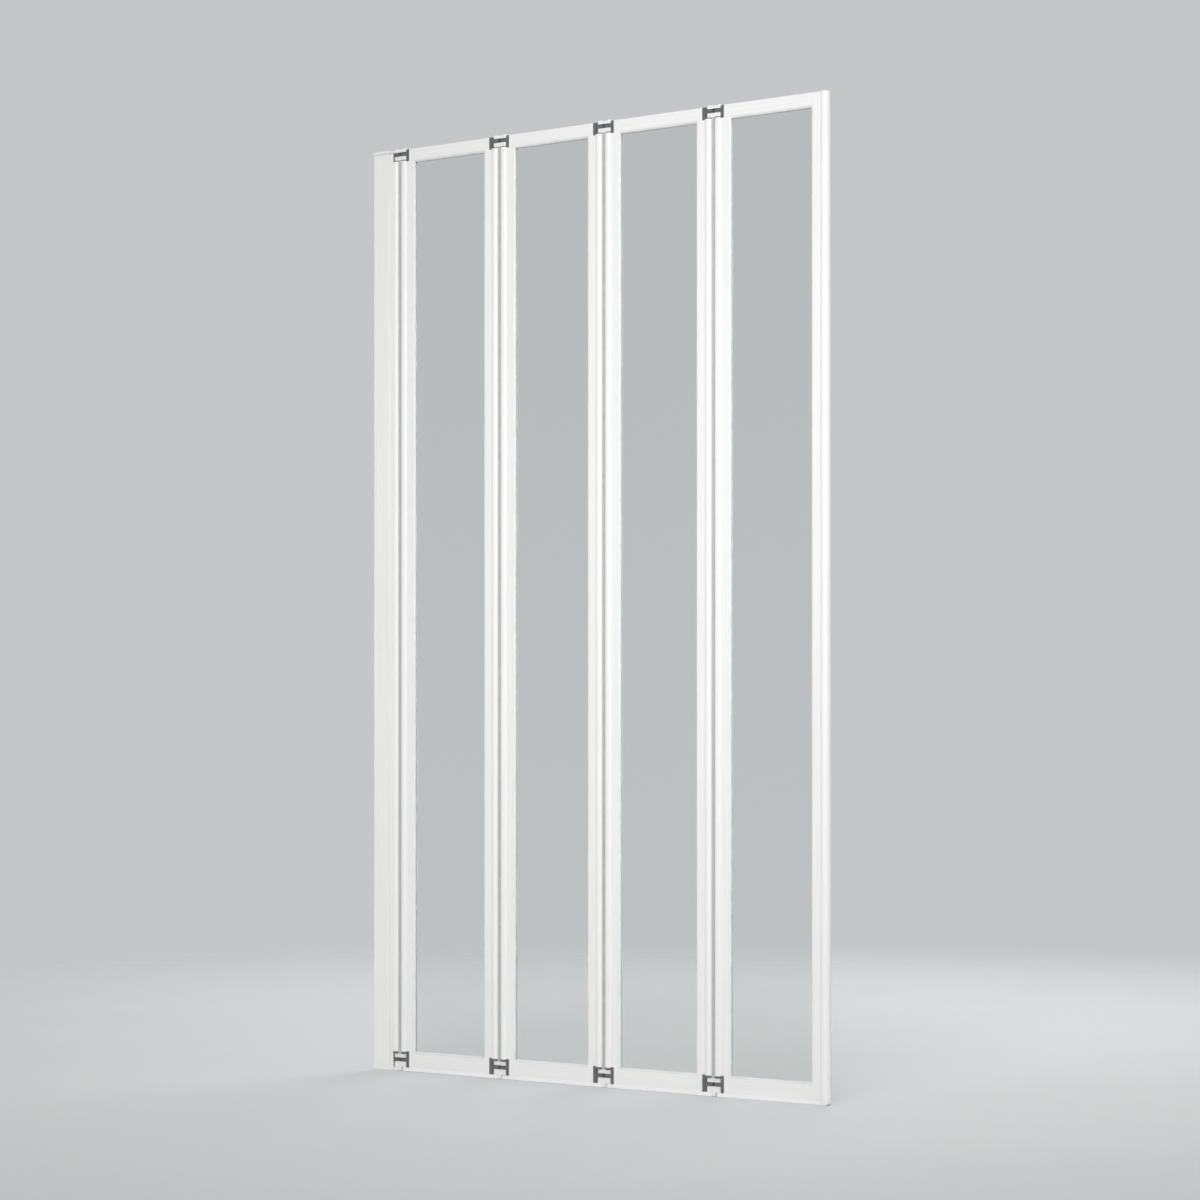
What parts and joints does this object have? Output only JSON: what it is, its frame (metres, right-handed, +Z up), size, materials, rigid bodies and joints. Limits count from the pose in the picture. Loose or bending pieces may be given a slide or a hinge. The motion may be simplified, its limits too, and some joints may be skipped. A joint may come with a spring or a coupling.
{
  "type": "folding bath screen",
  "caption": "Tall folding bath screen: narrow framed glass panels hinged side by side fold flat to either side, held upright by an adjustable channel screwed to the wall.",
  "frame": {"origin": "foot of the wall channel, in the middle of its back face, which lies on the wall", "axes": "X runs out from the wall along the opened screen, Z is up, and Y is across the screen with its front face at -Y"},
  "size_m": [0.8445, 0.0231, 1.403],
  "materials": {
    "white_aluminium": "satin",
    "white_moulding": "satin",
    "grey_nylon": "satin",
    "grey_seal": "satin",
    "white_seal": "satin",
    "clear_glass": "polished",
    "steel": "satin"
  },
  "bodies": {
    "wall": {"wall_channel": "white_aluminium", "adjusting_profile": "white_aluminium", "wall_top_cap": "white_moulding", "wall_bottom_cap": "white_moulding", "adjusting_screws": "steel", "screw_covers": "white_moulding", "wall_hinge_blocks": "grey_nylon", "wall_block_screws": "steel"},
    "link_1": {"joint_1_link_plates": "white_moulding", "joint_1_pins": "steel", "joint_1_seal": "grey_seal"},
    "panel_1": {"panel_1_left_stile": "white_aluminium", "panel_1_right_stile": "white_aluminium", "panel_1_top_rail": "white_aluminium", "panel_1_bottom_rail": "white_aluminium", "panel_1_glass": "clear_glass", "panel_1_gasket": "grey_seal", "panel_1_drip_seal": "white_seal", "panel_1_hinge_blocks": "grey_nylon", "panel_1_screws": "steel"},
    "link_2": {"joint_2_link_plates": "white_moulding", "joint_2_pins": "steel", "joint_2_seal": "grey_seal"},
    "panel_2": {"panel_2_left_stile": "white_aluminium", "panel_2_right_stile": "white_aluminium", "panel_2_top_rail": "white_aluminium", "panel_2_bottom_rail": "white_aluminium", "panel_2_glass": "clear_glass", "panel_2_gasket": "grey_seal", "panel_2_drip_seal": "white_seal", "panel_2_hinge_blocks": "grey_nylon", "panel_2_screws": "steel"},
    "link_3": {"joint_3_link_plates": "white_moulding", "joint_3_pins": "steel", "joint_3_seal": "grey_seal"},
    "panel_3": {"panel_3_left_stile": "white_aluminium", "panel_3_right_stile": "white_aluminium", "panel_3_top_rail": "white_aluminium", "panel_3_bottom_rail": "white_aluminium", "panel_3_glass": "clear_glass", "panel_3_gasket": "grey_seal", "panel_3_drip_seal": "white_seal", "panel_3_hinge_blocks": "grey_nylon", "panel_3_screws": "steel"},
    "link_4": {"joint_4_link_plates": "white_moulding", "joint_4_pins": "steel", "joint_4_seal": "grey_seal"},
    "panel_4": {"panel_4_left_stile": "white_aluminium", "panel_4_right_stile": "white_aluminium", "panel_4_top_rail": "white_aluminium", "panel_4_bottom_rail": "white_aluminium", "panel_4_glass": "clear_glass", "panel_4_gasket": "grey_seal", "panel_4_drip_seal": "white_seal", "panel_4_hinge_blocks": "grey_nylon", "panel_4_screws": "steel", "free_end_caps": "white_moulding"}
  },
  "joints": [
    {"name": "link_1_pivot", "type": "hinge", "parent": "wall", "child": "link_1", "pos_m": [0.03975, 0, 0.7], "axis": [0, 0, 1], "range_deg": [-45, 45]},
    {"name": "panel_1_pivot", "type": "hinge", "parent": "link_1", "child": "panel_1", "pos_m": [0.05725, 0, 0.7], "axis": [0, 0, 1], "range_deg": [-45, 45]},
    {"name": "link_2_pivot", "type": "hinge", "parent": "panel_1", "child": "link_2", "pos_m": [0.23875, 0, 0.7], "axis": [0, 0, -1], "range_deg": [-90, 90]},
    {"name": "panel_2_pivot", "type": "hinge", "parent": "link_2", "child": "panel_2", "pos_m": [0.25625, 0, 0.7], "axis": [0, 0, -1], "range_deg": [-90, 90]},
    {"name": "link_3_pivot", "type": "hinge", "parent": "panel_2", "child": "link_3", "pos_m": [0.43775, 0, 0.7], "axis": [0, 0, 1], "range_deg": [-90, 90]},
    {"name": "panel_3_pivot", "type": "hinge", "parent": "link_3", "child": "panel_3", "pos_m": [0.45525, 0, 0.7], "axis": [0, 0, 1], "range_deg": [-90, 90]},
    {"name": "link_4_pivot", "type": "hinge", "parent": "panel_3", "child": "link_4", "pos_m": [0.63675, 0, 0.7], "axis": [0, 0, -1], "range_deg": [-90, 90]},
    {"name": "panel_4_pivot", "type": "hinge", "parent": "link_4", "child": "panel_4", "pos_m": [0.65425, 0, 0.7], "axis": [0, 0, -1], "range_deg": [-90, 90]}
  ]
}
